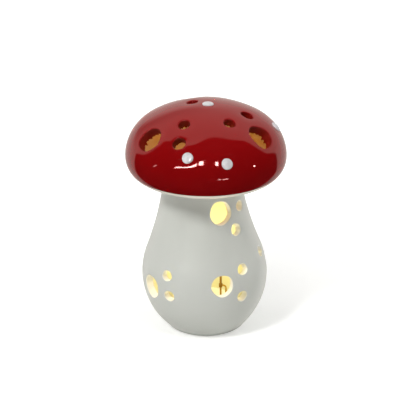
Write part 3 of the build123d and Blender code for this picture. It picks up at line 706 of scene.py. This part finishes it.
unit_plastic = plain("unit_plastic", (0.84, 0.83, 0.78), 0.42, 900.0, 0.00006)
finishes = {
    "light_housing": unit_plastic, "light_cover": unit_plastic, "battery_door": unit_plastic,
    "grip_ring": plain("grip_rubber", (0.62, 0.62, 0.60), 0.6, 500.0, 0.00008),
    "door_screw": plain("screw_steel", (0.60, 0.60, 0.62), 0.3, 1500.0, 0.00003, 1.0),
    "coin_cell": plain("cell_steel", (0.72, 0.72, 0.74), 0.25, 1200.0, 0.00002, 1.0),
    "side_contact": plain("contact_steel", (0.70, 0.68, 0.62), 0.3, 1200.0, 0.00002, 1.0),
    "circuit_board": plain("board_green", (0.03, 0.22, 0.09), 0.35, 700.0, 0.00003),
    "switch_body": plain("switch_black", (0.03, 0.03, 0.03), 0.4, 900.0, 0.00004),
    "resistor": plain("resistor_tan", (0.70, 0.52, 0.30), 0.35, 600.0, 0.00003),
    "straight_lead": plain("lead_amber", (0.62, 0.36, 0.06), 0.3, 600.0, 0.00003),
    "lead_sleeve": plain("sleeve_dark", (0.38, 0.18, 0.02), 0.45, 600.0, 0.00004),
}
finishes["leaf_contact"] = finishes["side_contact"]
finishes["switch_slider"] = finishes["switch_body"]
finishes["arched_lead"] = finishes["straight_lead"]
lamp_epoxy = plain("lamp_epoxy", (1.0, 0.86, 0.55), 0.15, 300.0, 0.00002)
lamp_shader = lamp_epoxy.node_tree.nodes["Principled BSDF"]
lamp_shader.inputs["Emission Color"].default_value = (1.0, 0.72, 0.32, 1)
lamp_shader.inputs["Emission Strength"].default_value = 6.0
finishes["lamp"] = lamp_epoxy
for name, finish in finishes.items():
    nodes[name].data.materials.clear()
    nodes[name].data.materials.append(finish)

# Studio: a white floor under soft panels above and at both sides, in a room that is white
# behind the mushroom and dark in front of it. None of this belongs to the object.


def panel(name, spot, aim, width, height, power):
    """A soft white light turned to face a spot, which shows in no reflection."""
    data = bpy.data.lights.new(name, "AREA")
    data.shape, data.size, data.size_y = "RECTANGLE", width, height
    data.energy = power
    made = bpy.data.objects.new(name, data)
    made.location = spot
    made.rotation_euler = (Vector(aim) - Vector(spot)).to_track_quat("-Z", "Y").to_euler()
    made.visible_glossy = False
    made.visible_camera = False
    bpy.context.scene.collection.objects.link(made)


def glow(name, spot, size, power, colour):
    """A small warm light inside the hollow that adds to the lamp's own, and isn't seen itself."""
    data = bpy.data.lights.new(name, "POINT")
    data.shadow_soft_size, data.energy, data.color = size, power, colour
    made = bpy.data.objects.new(name, data)
    made.location = spot
    made.visible_camera = False
    made.visible_glossy = False
    bpy.context.scene.collection.objects.link(made)


half, down = 6, -5e-5
floor_corners = [(-half, -half, down), (half, -half, down), (half, half, down), (-half, half, down)]
floor_mesh = bpy.data.meshes.new("floor")
floor_mesh.from_pydata(floor_corners, [], [(0, 1, 2, 3)])
floor = bpy.data.objects.new("floor", floor_mesh)
bpy.context.scene.collection.objects.link(floor)
floor_white, tree, shader = new_material(
    "floor_white", Roughness=0.9, Base_Color=(0.9, 0.9, 0.885, 1), Emission_Color=(1, 1, 0.985, 1)
)
# The floor gives off some light of its own. As the camera sees it, that is less near the foot, which paints a
# contact shadow there, and more far off, where it meets the white air. What it lights gets an even, dimmer
# share.
seen_floor = add_node(tree, "ShaderNodeLightPath").outputs["Is Camera Ray"]
place = add_node(tree, "ShaderNodeTexCoord").outputs["Object"]
away = add_node(tree, "ShaderNodeVectorMath", {0: place}, operation="LENGTH").outputs["Value"]
contact_shadow_painted = span(tree, away, 0.03, 0.12, 0.26, 0.41)
far_light = math(tree, "ADD", contact_shadow_painted, span(tree, away, 0.3, 1.6, 0.0, 0.59))
floor_light = add_node(tree, "ShaderNodeMix", {0: seen_floor, 2: 0.22, 3: far_light}).outputs[0]
tree.links.new(floor_light, shader.inputs["Emission Strength"])
floor_white.cycles.emission_sampling = "NONE"
floor_mesh.materials.append(floor_white)
floor.visible_glossy = False

middle_aim = (0, 0, 0.08)
panel("roof", (0.0, 0.15, 1.5), (0, 0, 0), 1.8, 1.8, 8.5)
panel("left_key", (-0.604, -0.671, 1.035), middle_aim, 0.3, 0.3, 10.6)
panel("right_key", (0.61, -0.68, 1.02), middle_aim, 0.3, 0.3, 3.0)
panel("left_back", (-1.1, 0.6, 0.45), middle_aim, 0.5, 0.7, 3.0)
panel("right_back", (1.1, 0.6, 0.45), middle_aim, 0.5, 0.7, 7.5)
glow("belly_glow", (-0.002, 0.002, 0.047), 0.004, 0.034, (1.0, 0.93, 0.55))
glow("cap_glow", (-0.002, 0.0, 0.122), 0.006, 0.015, (1.0, 0.36, 0.03))

# Panes: small bright windows that only a glossy surface sees, by the places of their corners
panes = [
    ("streak", 30.0, [
        (-0.842, -0.866, 0.426), (-0.296, -1.07, 0.686), (-0.285, -0.986, 0.824), (-0.551, -0.991, 0.636),
        (-0.792, -0.875, 0.517),
    ]),
    ("left_spot", 30.0, [
        (-0.221, -1.07, 0.72), (-0.088, -1.078, 0.739), (-0.072, -0.951, 0.916), (-0.205, -0.949, 0.896),
    ]),
    ("right_spot", 30.0, [
        (0.286, -1.053, 0.72), (0.405, -1.029, 0.694), (0.397, -0.926, 0.849), (0.28, -0.945, 0.878),
    ]),
    ("far_right", 30.0, [
        (1.153, -0.435, 0.27), (1.171, -0.391, 0.244), (1.167, -0.375, 0.312), (1.149, -0.418, 0.331),
    ]),
    ("far_left", 4.0, [
        (-1.2, -0.306, 0.18), (-1.164, -0.393, 0.294), (-1.163, -0.375, 0.333), (-1.202, -0.287, 0.221),
    ]),
    ("low_left", 12.0, [
        (0.345, -1.19, -0.045), (0.425, -1.163, -0.05), (0.426, -1.168, -0.009), (0.35, -1.194, -0.002),
    ]),
    ("low_right", 12.0, [
        (0.471, -1.143, -0.06), (0.61, -1.074, -0.064), (0.612, -1.08, -0.015), (0.473, -1.149, -0.014),
    ]),
]
for name, strength, corners in panes:
    pane_mesh = bpy.data.meshes.new("pane_" + name)
    pane_mesh.from_pydata(corners, [], [tuple(range(len(corners)))])
    pane_light = new_material("pane_" + name, Emission_Color=(1, 1, 1, 1), Emission_Strength=strength)[0]
    pane_light.cycles.emission_sampling = "NONE"
    pane_mesh.materials.append(pane_light)
    pane = bpy.data.objects.new("pane_" + name, pane_mesh)
    bpy.context.scene.collection.objects.link(pane)
    pane.visible_camera = pane.visible_diffuse = False
    pane.visible_shadow = pane.visible_transmission = False

world = bpy.data.worlds.new("room")
bpy.context.scene.world = world
world.use_nodes = True
tree = world.node_tree
tree.nodes.clear()
way = add_node(tree, "ShaderNodeTexCoord").outputs["Generated"]
part = add_node(tree, "ShaderNodeSeparateXYZ", {"Vector": way})
right, back, up = (part.outputs[axis] for axis in "XYZ")
# The room turns white behind a line that comes forward higher up, and fades far below the horizon
wall = span(tree, up, 0.0, 0.35, 0.46, 0.22)
wall = math(tree, "SUBTRACT", wall, span(tree, up, -0.75, -0.4, 0.07, 0))
ahead = math(tree, "SUBTRACT", back, wall)
lit = math(tree, "MULTIPLY", span(tree, ahead, -0.025, 0.025, 0, 1), span(tree, up, -0.85, -0.5, 0.5, 1))
# Its back wall is dimmer above the horizon, most of all on the left
dim = math(tree, "MULTIPLY", span(tree, back, 0.45, 0.8, 0, 1), span(tree, up, 0.0, 0.2, 0, 1))
dim = math(tree, "MULTIPLY", dim, span(tree, up, 0.3, 0.95, 1, 0))
dim = math(tree, "MULTIPLY", dim, span(tree, right, -0.25, 0.25, 1, 0.15))
dim = math(tree, "MULTIPLY", dim, span(tree, back, 0.82, 0.93, 1, 0))
lit = math(tree, "MULTIPLY", lit, math(tree, "SUBTRACT", 1.0, math(tree, "MULTIPLY", dim, 0.62)))
mirror = blend_colours(tree, lit, (0.012, 0.012, 0.012, 1), (0.70, 0.665, 0.62, 1))
# Only glossy surfaces see that room. The camera sees plain white, and all else a dim even grey
path = add_node(tree, "ShaderNodeLightPath")
seen = blend_colours(tree, path.outputs["Is Glossy Ray"], (0.07, 0.07, 0.07, 1), mirror)
seen = blend_colours(tree, path.outputs["Is Camera Ray"], seen, (1.0, 1.0, 1.0, 1))
air = add_node(tree, "ShaderNodeBackground", {"Color": seen, "Strength": 1.0})
add_node(tree, "ShaderNodeOutputWorld", {"Surface": air.outputs["Background"]})

view = bpy.context.scene.view_settings
view.view_transform = "Standard"
view.look = "None"
view.exposure = 0.0
view.gamma = 1.0
